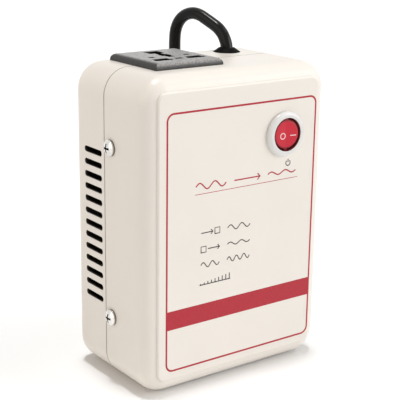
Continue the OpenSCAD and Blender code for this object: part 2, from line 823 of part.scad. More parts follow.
module lead_bushing() {
    bore = cord_d + 2 * slide_fit;
    neck_d = bush_hole_d - 2 * seat_gap;
    under = -wall - seat_gap;
    color(black) translate([lead_x, lead_y, case_top]) difference() {
        union() {
            cylinder(d1 = flare_d, d2 = bush_top_d, h = flare_h);
            translate([0, 0, under]) cylinder(d = neck_d, h = cut - under);
            translate([0, 0, under - bush_flange_t]) cylinder(d = bush_flange_d, h = bush_flange_t);
            translate([0, 0, -bush_neck]) cylinder(d1 = bush_neck_d, d2 = neck_d, h = bush_neck - wall);
        }
        translate([0, 0, -bush_neck - cut])
            cylinder(d = bore, h = bush_neck + flare_h + 2 * cut);
        translate([0, 0, flare_h - bush_mouth])
            cylinder(d1 = bore, d2 = bore + 4 * mouth_flare, h = 2 * bush_mouth);
    }
}

module lead_end() {
    color(black) translate([lead_x, lead_y, case_top - inner_end])
        cylinder(d = cord_d, h = inner_end + flare_h - bush_mouth);
}

module cord_run() { color(black) tube(run_points, cord_d / 2, 10, [0, 1, 0]); }

// Place on the coil after u turns: in along the lower layer, up, and out along the upper
coil_turns = coil_in + coil_climb + coil_out;
function coil_r(u) = coil_outer - coil_step * (u < coil_in ? u : u < coil_in + coil_climb ? coil_in :
    2 * coil_in + coil_climb - u);
function coil_z(u) = coil_step * min(1, max(0, (u - coil_in) / coil_climb));
function coil_point(u) = coil_at + [coil_r(u) * sin(360 * u), -coil_r(u) * cos(360 * u), coil_z(u)];
coil_path = concat(
    [coil_point(0) - [coil_end_x, 0, 0]],
    [for (i = [0 : coil_turns * coil_rings]) coil_point(i / coil_rings)],
    [coil_point(coil_turns) + [coil_end_x, 0, 0]]
);
// Least distance between stretches of the coil that are at least half a turn apart
function coil_gap() = min([
    for (i = [0 : len(coil_path) - 1], j = [i + coil_rings / 2 : 1 : len(coil_path) - 1])
        norm(coil_path[i] - coil_path[j])
]) - cord_d;

module cord_coil() {
    echo(coil_gap = coil_gap());
    color(black) tube(coil_path, cord_d / 2, 6, [0, 0, 1]);
}

module coil_tie() {
    reach = coil_outer - coil_in * coil_step;
    wide = coil_outer - reach + cord_d + 2 * tie_side + 2 * tie_t;
    high = coil_at[2] + coil_step + cord_d / 2 + tie_gap + tie_t;
    color([0.2, 0.2, 0.2]) translate([coil_at[0], coil_at[1] + (coil_outer + reach) / 2, high / 2])
        rotate([90, 0, 90]) linear_extrude(tie_w, center = true) difference() {
            rounded_rect(wide, high, cord_d / 2);
            rounded_rect(wide - 2 * tie_t, high - 2 * tie_t, cord_d / 2 - tie_t);
        }
}

module cord_tail() { color(black) tube(tail_points, cord_d / 2, 10, [0, 1, 0]); }

// The plug points to -X and lies flat on the coil
module at_plug() { translate(plug_at) rotate([0, 0, 180]) children(); }
module at_prongs() {
    at_plug() for (side = [-1, 1])
        translate([relief_len + plug_len, side * prong_pitch / 2, 0]) rotate([0, 90, 0]) children();
}

// Side outline of the plug, narrow where the lead enters
module plug_outline(back, front) {
    shoulder = relief_len + plug_len / 2;
    end = relief_len + plug_len;
    polygon([
        [relief_len, -back / 2], [shoulder, -front / 2], [end, -front / 2],
        [end, front / 2], [shoulder, front / 2], [relief_len, back / 2]
    ]);
}

module plug_body() {
    color(black) difference() {
        at_plug() union() {
            rotate([0, 90, 0]) cylinder(d1 = cord_d + 1, d2 = relief_d, h = relief_len + cut);
            intersection() {
                linear_extrude(plug_t, center = true) plug_outline(plug_back_w, plug_w);
                rotate([90, 0, 0]) linear_extrude(plug_w, center = true) plug_outline(plug_back_t, plug_t);
            }
        }
        at_prongs() translate([0, 0, -prong_in]) cylinder(d = prong_d + 2 * slide_fit, h = prong_in + cut);
    }
}

module plug_pins() {
    color(steel_colour) at_prongs() {
        translate([0, 0, -prong_in]) cylinder(d = prong_d, h = prong_in + prong_len - prong_d / 2);
        translate([0, 0, prong_len - prong_d / 2]) sphere(d = prong_d);
    }
}

front_shell();
rear_shell();
case_screws();
clinch_nuts();
rubber_feet();
socket_plate();
socket_body();
live_contact();
neutral_contact();
earth_contact();
switch_housing();
switch_rocker();
rocker_plunger();
rocker_spring();
contact_lever();
common_terminal();
load_terminal();
core_e();
core_i();
bobbin();
common_winding();
series_winding();
winding_wrap();
core_bolts();
core_spacers();
core_nuts();
thermal_cutout();
live_in_wire();
switched_wire();
neutral_in_wire();
live_out_wire();
neutral_out_wire();
lead_bushing();
lead_end();
cord_run();
cord_coil();
coil_tie();
cord_tail();
plug_body();
plug_pins();
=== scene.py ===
"""Looks of a travel voltage converter: painted steel case, socket, rocker switch and mains lead.

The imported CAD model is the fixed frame. Every piece made here rides on one of its bodies.
All lengths are in metres, with the front of the case towards -Y and the floor at Z = 0.
"""

import math

import bmesh
import bpy
from bpy.props import FloatProperty, FloatVectorProperty, IntProperty, PointerProperty
from mathutils import Matrix, Vector


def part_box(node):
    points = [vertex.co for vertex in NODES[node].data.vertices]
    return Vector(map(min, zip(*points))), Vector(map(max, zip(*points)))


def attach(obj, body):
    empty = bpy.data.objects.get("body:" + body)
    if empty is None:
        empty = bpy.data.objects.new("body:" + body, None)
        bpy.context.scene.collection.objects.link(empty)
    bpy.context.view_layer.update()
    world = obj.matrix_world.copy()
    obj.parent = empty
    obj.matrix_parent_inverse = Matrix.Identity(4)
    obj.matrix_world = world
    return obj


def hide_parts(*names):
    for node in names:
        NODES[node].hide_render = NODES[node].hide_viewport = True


bl_info = {
    "name": "Travel Voltage Converter",
    "version": (1, 0, 0),
    "blender": (4, 5, 0),
    "location": "View3D > Sidebar > Converter",
    "description": "Dresses the converter's solids with finishes, print, lead and plug",
    "category": "Object",
}

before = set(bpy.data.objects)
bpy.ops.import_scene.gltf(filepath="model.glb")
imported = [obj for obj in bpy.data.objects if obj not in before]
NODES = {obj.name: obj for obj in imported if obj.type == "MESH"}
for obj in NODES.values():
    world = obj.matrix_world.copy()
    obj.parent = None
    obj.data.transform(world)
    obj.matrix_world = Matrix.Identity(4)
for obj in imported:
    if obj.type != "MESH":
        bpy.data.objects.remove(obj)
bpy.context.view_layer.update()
MM = 0.001

# Places that come from the solids
FRONT_LOW, FRONT_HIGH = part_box("front_shell")
REAR_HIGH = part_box("rear_shell")[1]
PLATE_LOW, PLATE_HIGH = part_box("socket_plate")
SWITCH_LOW, SWITCH_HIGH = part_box("switch_housing")
ROCKER_LOW, ROCKER_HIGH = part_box("switch_rocker")
SCREWS_LOW, SCREWS_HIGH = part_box("case_screws")
PLUG_LOW, PLUG_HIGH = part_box("plug_body")
LEAD_LOW, LEAD_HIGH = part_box("lead_end")
PANEL_Y = FRONT_LOW.y
SEAM_Y = FRONT_HIGH.y
SIDE_X = FRONT_HIGH.x
CASE_MIDDLE = Vector((0, (FRONT_LOW.y + REAR_HIGH.y) / 2, (FRONT_LOW.z + FRONT_HIGH.z) / 2))
SWITCH_MIDDLE = Vector(((SWITCH_LOW.x + SWITCH_HIGH.x) / 2, PANEL_Y, (SWITCH_LOW.z + SWITCH_HIGH.z) / 2))
PLATE_MIDDLE = (PLATE_LOW + PLATE_HIGH) / 2
PLUG_MIDDLE = (PLUG_LOW + PLUG_HIGH) / 2
ROCKER_RADIUS = (ROCKER_HIGH.x - ROCKER_LOW.x) / 2
LEAD_DIAMETER = LEAD_HIGH.x - LEAD_LOW.x
LEAD_EXIT = Vector(((LEAD_LOW.x + LEAD_HIGH.x) / 2, (LEAD_LOW.y + LEAD_HIGH.y) / 2, LEAD_HIGH.z))

# Route of the mains lead, in millimetres: the loop's steps from the bushing, along its plane and up
LOOP_HEADING = math.radians(104)
LOOP_STEPS = (
    (0, 0), (0, 0.6), (0.4, 3.2), (1.5, 5.9), (3.3, 8.6), (6.3, 11.2), (10.2, 13.2), (14.3, 15.1),
    (18.4, 16.8), (22.8, 17.5), (27.2, 16.7), (31, 14.6), (33.9, 11.3), (35.6, 7.1), (36.1, 2.7),
    (36.2, -1.8),
)
# Its straight fall behind the case, and the steps of its bend from the floor under the fall
FALL_LOW, FALL_PARTS = 25, 7
FOOT_STEPS = ((1.5, 0, 16.5), (5.9, 0, 10), (12.3, 0, 5.7), (20, 0, 4.1), (23.8, 0, 4.1))
# Its coil, from the floor under the fall: in along the lower layer, up half a turn, out along the upper one
COIL_MIDDLE = (30, 38.5, 4.1)
COIL_OUTER, COIL_STEP = 38.5, 7.5
COIL_IN, COIL_CLIMB, COIL_OUT = 2, 0.5, 1.5
COIL_POINTS_PER_TURN = 48
# Steps of its tail to the plug, from the coil's middle
TAIL_STEPS = (
    (6.2, -34.75, 7.5), (9.2, -34.75, 7.5), (14, -34.75, 8.2), (19, -34.75, 9.6), (24.5, -34.7, 11.2),
    (30, -33.4, 12.7), (35.4, -29.7, 14), (39, -24.1, 15.2), (40.4, -17.5, 16.1), (39, -10.9, 16.9),
    (35.4, -5.3, 17.4), (30, -1.5, 17.7), (23.5, 0, 17.75), (20, 0, 17.75),
)

# Zones of the finishes. Case: thickness of its sheet, and where painted shade starts and is full beside the
# seam
SHEET = 0.0017
SEAM_SHADE_FROM, SEAM_SHADE_FULL = 0.0011, 0.0002
# Socket plate: side that its painted sheen faces, depths of the sheen zone, reach of its apertures, skin
# above them
SHEEN_SIDE = (0.36, -0.3, 0.88)
SHEEN_LOW, SHEEN_FULL = 0.0026, 0.0014
APERTURES_X, APERTURES_Y = 0.016, 0.017
PLATE_SKIN = 0.0004
# Switch: radii where painted shade darkens the rocker's rim, and the gap round it in its well
RIM_SHADE_FROM, RIM_SHADE_FULL = 0.0064, 0.0069
WELL_GAP = 0.0003
# Screws: depth and reach of the cross in the head, and heights where painted shade darkens the head above the
# paint
CROSS_DEPTH, CROSS_SHARE = 0.0006, 0.6
HEAD_SHADE_FROM, HEAD_SHADE_FULL = 0.0012, 0.0003
# Plug pins: length of the insulating sleeve
SLEEVE = 0.010

# Tones: specks in the paint and the pins' sleeves are their own colours; the rest are painted shade, a
# painted sheen and a painted reflection
SPECK = (0.30, 0.27, 0.23)
INSIDE_SHADE = (0.045, 0.040, 0.032)
PAINTED_SHEEN = (0.40, 0.391, 0.383)
APERTURE_SHADE = (0.006, 0.006, 0.006)
ROCKER_RIM_SHADE = (0.16, 0.018, 0.022)
WELL_SHADE_AND_REFLECTION = (0.22, 0.045, 0.045)
CREVICE_SHADE = (0.02, 0.02, 0.02)
SLEEVE_BLACK = (0.015, 0.015, 0.015)


def colour(label, value):
    """Property that holds a colour"""
    return FloatVectorProperty(
        name=label, description=label + " colour", subtype="COLOR", size=3, min=0, max=1, default=value
    )


def length(label, words, value):
    """Property that holds a length in metres"""
    return FloatProperty(
        name=label, description=words, subtype="DISTANCE", unit="LENGTH", min=0, default=value
    )


class ConverterColours(bpy.types.PropertyGroup):
    """Colours of the finishes, as scene-linear values"""

    paint: colour("Case paint", (0.76, 0.717, 0.66))
    print_red: colour("Panel print", (0.43, 0.030, 0.045))
    print_dark: colour("Panel symbols", (0.035, 0.033, 0.032))
    rocker: colour("Rocker", (0.56, 0.020, 0.040))
    marks: colour("Rocker marks", (0.83, 0.60, 0.60))
    bezel: colour("Switch bezel", (0.68, 0.675, 0.665))
    socket: colour("Socket plate", (0.020, 0.0183, 0.0175))
    sheath: colour("Lead sheath", (0.0038, 0.0035, 0.0033))
    nickel: colour("Case screws", (0.84, 0.82, 0.79))
    floor: colour("Floor", (0.97, 0.97, 0.97))


class ConverterPrint(bpy.types.PropertyGroup):
    """Sizes of the print on the front panel, with its heights from the case's bottom"""

    left: length("Frame left", "Distance of the red frame from the middle, to the left", 0.0440)
    right: length("Frame right", "Distance of the red frame from the middle, to the right", 0.0474)
    bottom: length("Frame bottom", "Height of the red frame's lower line", 0.0116)
    top: length("Frame top", "Height of the red frame's upper line", 0.1403)
    corner: length("Frame corner", "Rounding of the red frame's corners", 0.0042)
    line: length("Frame line", "Width of the red frame's line", 0.00095)
    band_low: length("Band bottom", "Lower edge of the red band", 0.0336)
    band_high: length("Band top", "Upper edge of the red band", 0.0432)
    rule_height: length("Rule height", "Height of the thin red rule", 0.0993)
    rule_left: length("Rule left", "Distance of the rule's left end from the middle", 0.0275)
    rule_right: length("Rule right", "Distance of the rule's right end from the middle", 0.0363)
    rule_line: length("Rule line", "Width of the thin red rule", 0.00028)
    film: length("Ink film", "Thickness of the ink on the paint", 0.00004)
    symbol_line: length("Symbol line", "Width of the lines in the symbols", 0.0005)
    heading_line: length("Heading line", "Width of the lines in the heading's symbols", 0.00065)


class ConverterLead(bpy.types.PropertyGroup):
    """Sizes of the mains lead and its plug"""

    sides: IntProperty(name="Sides", description="Sides of the lead's sheath", min=8, max=48, default=24)
    ribs: IntProperty(name="Ribs", description="Ribs on the plug's strain relief", min=2, max=12, default=5)
    rib_width: length("Rib width", "Width of a rib on the strain relief", 0.0015)


# Finishes

class NodeWork:
    """Adds nodes to a tree and fills their inputs with values or links"""

    tree = None

    def fill(self, socket, value):
        if isinstance(value, bpy.types.NodeSocket):
            self.tree.links.new(value, socket)
        else:
            socket.default_value = value

    def node(self, kind, inputs=(), **settings):
        made = self.tree.nodes.new(kind)
        for key, value in settings.items():
            setattr(made, key, value)
        for key, value in dict(inputs).items():
            self.fill(made.inputs[key], value)
        return made

    def math(self, operation, a, b=0.0):
        return self.node("ShaderNodeMath", {0: a, 1: b}, operation=operation).outputs[0]


class Finish(NodeWork):
    """A procedural material in the making, read from Object coordinates"""

    def __init__(self, name, base, roughness=0.5, **sockets):
        self.material = bpy.data.materials.new(name)
        self.material.use_nodes = True
        self.material.diffuse_color = (*base, 1)
        self.tree = self.material.node_tree
        self.shader = self.tree.nodes["Principled BSDF"]
        self.base = base
        self.place = self.node("ShaderNodeTexCoord").outputs["Object"]
        self.set("Base Color", (*base, 1))
        self.set("Roughness", roughness)
        for socket, value in sockets.items():
            self.set(socket.replace("_", " "), value)

    def set(self, socket, value):
        self.fill(self.shader.inputs[socket], value)

    def noise(self, scale, detail=3.0):
        return self.node(
            "ShaderNodeTexNoise", {"Vector": self.place, "Scale": scale, "Detail": detail}
        ).outputs["Fac"]

    def cells(self, scale):
        return self.node("ShaderNodeTexVoronoi", {"Vector": self.place, "Scale": scale}).outputs["Distance"]

    def bands(self, direction, scale, distortion):
        return self.node(
            "ShaderNodeTexWave", {"Vector": self.place, "Scale": scale, "Distortion": distortion},
            bands_direction=direction,
        ).outputs["Fac"]

    def ramp(self, value, low, high, start=0.0, end=1.0):
        return self.node(
            "ShaderNodeMapRange",
            {"Value": value, "From Min": low, "From Max": high, "To Min": start, "To Max": end},
        ).outputs[0]

    def axis(self, letter, vector=None):
        return self.node("ShaderNodeSeparateXYZ", {"Vector": vector or self.place}).outputs[letter]

    def within(self, letter, low, high):
        """1 where a coordinate lies between two values"""
        along = self.axis(letter)
        above = self.math("GREATER_THAN", along, low)
        return self.math("MULTIPLY", above, self.math("LESS_THAN", along, high))

    def hypotenuse(self, a, b):
        return self.math("SQRT", self.math("ADD", self.math("MULTIPLY", a, a), self.math("MULTIPLY", b, b)))

    def from_switch(self):
        """Distance from the middle line of the switch"""
        across = self.math("SUBTRACT", self.axis("X"), SWITCH_MIDDLE.x)
        return self.hypotenuse(across, self.math("SUBTRACT", self.axis("Z"), SWITCH_MIDDLE.z))

    def mix(self, share, a, b):
        made = self.node("ShaderNodeMix", data_type="RGBA")
        self.fill(made.inputs[0], share)
        for socket, value in ((made.inputs[6], a), (made.inputs[7], b)):
            self.fill(socket, value if isinstance(value, bpy.types.NodeSocket) else (*value, 1))
        return made.outputs[2]

    def tone(self, share):
        """The base colour, darker by that share, or lighter where it is negative"""
        return tuple(c * (1 - share) for c in self.base)

    def mottle(self, share, scale, detail=3.0):
        """Colour that drifts between the base and a darker tone"""
        shade = self.mix(self.ramp(self.noise(scale, detail), 0.35, 0.65), self.base, self.tone(share))
        self.set("Base Color", shade)
        return shade

    def gloss(self, low, high, scale):
        """Roughness that drifts between two values"""
        self.set("Roughness", self.ramp(self.noise(scale), 0.3, 0.7, low, high))

    def bump(self, height, strength, depth, soft=0.0):
        """Small relief, over edges that look rounded by the soft radius"""
        made = self.node("ShaderNodeBump", {"Height": height, "Strength": strength, "Distance": depth})
        if soft:
            rounded = self.node("ShaderNodeBevel", {"Radius": soft}, samples=8)
            self.fill(made.inputs["Normal"], rounded.outputs[0])
        self.set("Normal", made.outputs["Normal"])


def paint_finish(colours):
    """Satin ivory paint outside, with painted shade beside the seam, inside the case and on the walls of its
    slots
    """
    f = Finish("ivory_paint", colours.paint, 0.36)
    clean = f.mottle(0.022, 26, 4)
    specks = f.math("LESS_THAN", f.cells(230), 0.035)
    sparse = f.math("MULTIPLY", specks, f.math("GREATER_THAN", f.noise(55, 1), 0.60))
    speckled = f.mix(f.math("MULTIPLY", sparse, 0.35), clean, SPECK)
    seam = f.math("ABSOLUTE", f.math("SUBTRACT", f.axis("Y"), SEAM_Y))
    patches = f.ramp(f.noise(90), 0.3, 0.8, 0.08, 0.40)
    # Painted shade, in patches, in a narrow band beside the seam between the shells
    seam_shade = f.math("MULTIPLY", f.ramp(seam, SEAM_SHADE_FROM, SEAM_SHADE_FULL), patches)
    seam_shaded = f.mix(seam_shade, speckled, f.tone(0.32))
    normal = f.node("ShaderNodeNewGeometry").outputs["True Normal"]
    from_middle = f.node("ShaderNodeVectorMath", {0: f.place, 1: CASE_MIDDLE}, operation="SUBTRACT")
    outward = f.node("ShaderNodeVectorMath", {0: from_middle.outputs[0], 1: normal}, operation="DOT_PRODUCT")
    inside = f.math("LESS_THAN", outward.outputs["Value"], 0.0)
    in_side_wall = f.math("GREATER_THAN", f.math("ABSOLUTE", f.axis("X")), SIDE_X - SHEET)
    slot = f.math("MULTIPLY", in_side_wall, f.math("LESS_THAN", f.math("ABSOLUTE", f.axis("X", normal)), 0.6))
    # Painted shade: inward faces and the walls of the side slots take a near-black tone
    f.set("Base Color", f.mix(f.math("MAXIMUM", inside, slot), seam_shaded, INSIDE_SHADE))
    f.gloss(0.32, 0.42, 60)
    f.bump(f.noise(700, 2), 0.06, 0.0004, soft=0.0009)
    return f.material


def ink_finish(name, base):
    """Printed ink"""
    f = Finish(name, base, 0.42, Specular_IOR_Level=0.2)
    f.mottle(0.10, 900, 2)
    f.bump(f.noise(1800, 2), 0.08, 0.0001)
    return f.material


def moulded_finish(name, base, roughness, grain, strength, **sockets):
    """Moulded plastic or rubber with a fine grain"""
    f = Finish(name, base, roughness, **sockets)
    f.mottle(0.12, 140, 4)
    f.gloss(max(0.05, roughness - 0.05), roughness + 0.06, 220)
    f.bump(f.noise(grain, 3), strength, 0.0002)
    return f.material


def socket_finish(colours):
    """Spark-eroded black plastic with a painted sheen on top and along its front edge, and painted shade in
    its apertures
    """
    f = Finish("socket_black", colours.socket, 0.36)
    grain = f.noise(1500, 4)
    shade = f.mix(f.ramp(grain, 0.35, 0.7), f.tone(0.35), f.tone(-0.7))
    normal = f.node("ShaderNodeNewGeometry").outputs["True Normal"]
    # Painted sheen: faces turned up, forward and right, high on the plate, are lightened
    facing = f.node("ShaderNodeVectorMath", {0: normal, 1: SHEEN_SIDE}, operation="DOT_PRODUCT")
    sheen = f.ramp(facing.outputs["Value"], 0.50, 0.90)
    sheen = f.math("MULTIPLY", sheen, f.ramp(grain, 0.35, 0.65, 0.4, 1.0))
    high = f.ramp(f.axis("Z"), PLATE_HIGH.z - SHEEN_LOW, PLATE_HIGH.z - SHEEN_FULL)
    shade = f.mix(f.math("MULTIPLY", sheen, high), shade, PAINTED_SHEEN)
    # Painted shade in the sunk apertures, with their reflections turned down
    inner = f.math("MULTIPLY", f.within("X", PLATE_MIDDLE.x - APERTURES_X, PLATE_MIDDLE.x + APERTURES_X),
                   f.within("Y", PLATE_MIDDLE.y - APERTURES_Y, PLATE_MIDDLE.y + APERTURES_Y))
    below = f.math("LESS_THAN", f.axis("Z"), PLATE_HIGH.z - PLATE_SKIN)
    sunk = f.math("MULTIPLY", inner, below)
    f.set("Base Color", f.mix(sunk, shade, APERTURE_SHADE))
    f.set("Specular IOR Level", f.ramp(sunk, 0, 1, 0.34, 0.05))
    f.gloss(0.30, 0.44, 1600)
    f.bump(grain, 0.35, 0.0002, soft=0.0004)
    return f.material


def rocker_finish(colours):
    """Glossy red plastic, with painted shade where it dips into its well"""
    f = Finish("rocker_red", colours.rocker, 0.34, Specular_IOR_Level=0.25)
    # Painted shade on the rocker's rim where it dips into the well
    rim_shade = f.ramp(f.from_switch(), RIM_SHADE_FROM, RIM_SHADE_FULL, 0.0, 0.85)
    f.set("Base Color", f.mix(rim_shade, f.mottle(0.08, 160), ROCKER_RIM_SHADE))
    f.gloss(0.30, 0.40, 300)
    f.bump(f.noise(400, 2), 0.05, 0.0002, soft=0.0012)
    return f.material


def bezel_finish(colours):
    """Glossy white plastic, with painted shade and a painted red reflection of the rocker in the well that it
    turns in
    """
    f = Finish("bezel_white", colours.bezel, 0.22)
    # Painted shade and a painted red reflection of the rocker on the walls of the well
    well = f.math("LESS_THAN", f.from_switch(), ROCKER_RADIUS + WELL_GAP)
    f.set("Base Color", f.mix(well, f.mottle(0.04, 140), WELL_SHADE_AND_REFLECTION))
    f.gloss(0.18, 0.28, 220)
    f.bump(f.noise(300, 2), 0.04, 0.0002, soft=0.0004)
    return f.material


def screw_finish(colours):
    """Bright nickel, with painted shade in the cross of the head and where the head meets the paint"""
    f = Finish("bright_nickel", colours.nickel, 0.2, Metallic=1.0)
    radius = (SCREWS_HIGH.y - SCREWS_LOW.y) / 2
    heights = (SCREWS_LOW.z + radius, SCREWS_HIGH.z - radius)
    up = f.math("MINIMUM", *(f.math("ABSOLUTE", f.math("SUBTRACT", f.axis("Z"), z)) for z in heights))
    along = f.math("SUBTRACT", f.axis("Y"), SCREWS_LOW.y + radius)
    # Painted shade in the cross of the head and at its foot beside the paint
    sunk = f.math("LESS_THAN", f.math("ABSOLUTE", f.axis("X")), SCREWS_HIGH.x - CROSS_DEPTH)
    cross = f.math("MULTIPLY", sunk, f.math("LESS_THAN", f.hypotenuse(up, along), radius * CROSS_SHARE))
    foot = f.ramp(f.math("ABSOLUTE", f.axis("X")), SIDE_X + HEAD_SHADE_FROM, SIDE_X + HEAD_SHADE_FULL, 0.0, 0.85)
    f.set("Base Color", f.mix(f.math("MAXIMUM", cross, foot), f.mottle(0.2, 320, 4), CREVICE_SHADE))
    f.gloss(0.10, 0.24, 500)
    f.bump(f.noise(1500, 2), 0.08, 0.0001, soft=0.0003)
    return f.material


def metal_finish(name, base, roughness):
    """Plated or plain metal"""
    f = Finish(name, base, roughness, Metallic=1.0)
    f.mottle(0.14, 320, 4)
    f.gloss(roughness * 0.7, roughness * 1.4, 500)
    f.bump(f.noise(1500, 2), 0.08, 0.0001)
    return f.material


def wound_finish(name, base, direction, scale, metallic):
    """Rows of enamelled wire, or the edges of stacked sheets"""
    f = Finish(name, base, 0.35, Metallic=metallic)
    rows = f.bands(direction, scale, 0.15)
    f.set("Base Color", f.mix(rows, f.tone(0.55), f.base))
    f.gloss(0.28, 0.45, 200)
    f.bump(rows, 0.6, 0.0003)
    return f.material


def prong_finish():
    """Nickel pins with a dark insulating sleeve next to the plug"""
    f = Finish("sleeved_pin", (0.62, 0.62, 0.60), 0.25)
    bare = f.math("LESS_THAN", f.axis("X"), PLUG_LOW.x - SLEEVE)
    steel = f.mix(f.ramp(f.noise(400), 0.3, 0.7), f.base, f.tone(0.12))
    f.set("Base Color", f.mix(bare, SLEEVE_BLACK, steel))
    f.set("Metallic", bare)
    f.set("Roughness", f.ramp(bare, 0, 1, 0.5, 0.22))
    f.bump(f.noise(1500, 2), 0.08, 0.0001)
    return f.material


def dress(material, *names):
    """Gives CAD nodes their finish"""
    for name in names:
        slots = NODES[name].data.materials
        slots.clear()
        slots.append(material)


# Meshes

def piece_of(name, mesh, material, body):
    """An object at the origin that rides on a body and takes a material slot's finish"""
    made = bpy.data.objects.new(name, mesh)
    bpy.context.scene.collection.objects.link(made)
    mesh.materials.clear()
    mesh.materials.append(material)
    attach(made, body)
    return made


def rounded_outline(left, right, low, high, radius, steps=8):
    """Points of a rectangle with round corners, in the panel's X and Z, counter-clockwise"""
    corners = (
        (right - radius, low + radius, -90), (right - radius, high - radius, 0),
        (left + radius, high - radius, 90), (left + radius, low + radius, 180),
    )
    return [
        (x + radius * math.cos(a), z + radius * math.sin(a))
        for x, z, start in corners
        for a in (math.radians(start + 90 * i / steps) for i in range(steps + 1))
    ]


def inked_strip(mesh, edge_a, edge_b, lift, closed, place):
    """Thin film of ink between two rows of points, place(u, v, height) giving each vertex"""
    rows = [[mesh.verts.new(place(u, v, h)) for u, v in edge] for edge, h in (
        (edge_a, lift), (edge_b, lift), (edge_b, 0.0), (edge_a, 0.0))]
    count = len(edge_a)
    for i in range(count if closed else count - 1):
        j = (i + 1) % count
        for a in range(4):
            b = (a + 1) % 4
            mesh.faces.new((rows[a][i], rows[a][j], rows[b][j], rows[b][i]))
    if not closed:
        for i in (0, count - 1):
            mesh.faces.new([row[i] for row in rows])


def inked_line(mesh, points, width, lift, place, closed=False):
    """Film of ink of even width along a row of points"""
    sides = ([], [])
    count = len(points)
    for i, (u, v) in enumerate(points):
        before = points[i - 1] if i or closed else points[i]
        after = points[(i + 1) % count] if i + 1 < count or closed else points[i]
        du, dv = after[0] - before[0], after[1] - before[1]
        size = math.hypot(du, dv)
        nu, nv = -dv / size * width / 2, du / size * width / 2
        sides[0].append((u + nu, v + nv))
        sides[1].append((u - nu, v - nv))
    inked_strip(mesh, sides[0], sides[1], lift, closed, place)


def finished_mesh(name, mesh):
    """Turns a bmesh into a mesh with its faces outwards"""
    bmesh.ops.recalc_face_normals(mesh, faces=mesh.faces)
    data = bpy.data.meshes.new(name)
    mesh.to_mesh(data)
    mesh.free()
    return data


def on_panel(u, v, height):
    """Place on the front panel, from the case's middle and bottom"""
    return Vector((u, PANEL_Y - height, FRONT_LOW.z + v))


def arc(middle, radius, start, end, steps):
    """Points of an arc between two angles in degrees"""
    return [
        (middle[0] + radius * math.cos(a), middle[1] + radius * math.sin(a))
        for a in (math.radians(start + (end - start) * i / steps) for i in range(steps + 1))
    ]


# Node trees

class Growth(NodeWork):
    """A Geometry Nodes tree in the making, with named inputs and a finish at its end"""

    def __init__(self, name, **inputs):
        self.tree = bpy.data.node_groups.new(name, "GeometryNodeTree")
        face = self.tree.interface
        face.new_socket("Geometry", in_out="INPUT", socket_type="NodeSocketGeometry")
        for label, kind in {**inputs, "Finish": "Material"}.items():
            face.new_socket(label, in_out="INPUT", socket_type="NodeSocket" + kind)
        face.new_socket("Geometry", in_out="OUTPUT", socket_type="NodeSocketGeometry")
        self.given = self.node("NodeGroupInput").outputs

    def end(self, geometry):
        """Smooths the shape, makes it real and gives it the finish"""
        smooth = self.node("GeometryNodeSetShadeSmooth", {"Geometry": geometry})
        real = self.node("GeometryNodeRealizeInstances", {"Geometry": smooth.outputs[0]})
        dressed = self.node("GeometryNodeSetMaterial", {
            "Geometry": real.outputs[0], "Material": self.given["Finish"],
        })
        self.node("NodeGroupOutput", {"Geometry": dressed.outputs[0]})

    def run(self, name, data, **values):
        """Runs the tree on a curve or mesh and returns the plain mesh that it makes"""
        holder = bpy.data.objects.new(name + "_source", data)
        bpy.context.scene.collection.objects.link(holder)
        modifier = holder.modifiers.new(name, "NODES")
        modifier.node_group = self.tree
        named = {s.name: s.identifier for s in self.tree.interface.items_tree if s.in_out == "INPUT"}
        for label, value in values.items():
            modifier[named[label]] = value
        graph = bpy.context.evaluated_depsgraph_get()
        mesh = bpy.data.meshes.new_from_object(holder.evaluated_get(graph))
        mesh.name = name
        holder.modifiers.clear()
        bpy.data.objects.remove(holder)
        return mesh


def swept_growth():
    """Sweeps a round section along a curve"""
    g = Growth("swept_sheath", Radius="Float", Sides="Int")
    section = g.node("GeometryNodeCurvePrimitiveCircle", {
        "Radius": g.given["Radius"], "Resolution": g.given["Sides"],
    })
    sweep = g.node("GeometryNodeCurveToMesh", {
        "Curve": g.given["Geometry"], "Profile Curve": section.outputs["Curve"], "Fill Caps": True,
    })
    g.end(sweep.outputs["Mesh"])
    return g


def ribs_growth(around=40, across=10):
    """Sets rings in a row, each a little larger than the last, with so many points around and across"""
    g = Growth(
        "relief_ribs", Count="Int", Start="Vector", Step="Vector",
        Radius="Float", Growth="Float", Width="Float",
    )
    row = g.node("GeometryNodeMeshLine", {
        "Count": g.given["Count"], "Start Location": g.given["Start"], "Offset": g.given["Step"],
    })
    ring = g.node("GeometryNodeCurvePrimitiveCircle", {"Radius": g.given["Radius"], "Resolution": around})
    section = g.node("GeometryNodeCurvePrimitiveCircle", {
        "Radius": g.math("MULTIPLY", g.given["Width"], 0.5), "Resolution": across,
    })
    tube = g.node("GeometryNodeCurveToMesh", {
        "Curve": ring.outputs["Curve"], "Profile Curve": section.outputs["Curve"],
    })
    upright = g.node("GeometryNodeTransform", {
        "Geometry": tube.outputs["Mesh"], "Rotation": (0, math.pi / 2, 0),
    })
    number = g.node("GeometryNodeInputIndex").outputs[0]
    size = g.math("ADD", g.math("MULTIPLY", number, g.given["Growth"]), 1.0)
    set_out = g.node("GeometryNodeInstanceOnPoints", {
        "Points": row.outputs["Mesh"], "Instance": upright.outputs["Geometry"], "Scale": size,
    })
    g.end(set_out.outputs["Instances"])
    return g


def polyline(name, points):
    """Curve of one open spline through the points"""
    data = bpy.data.curves.new(name, "CURVE")
    data.dimensions = "3D"
    spline = data.splines.new("POLY")
    spline.points.add(len(points) - 1)
    for target, p in zip(spline.points, points):
        target.co = (*p, 1)
    return data


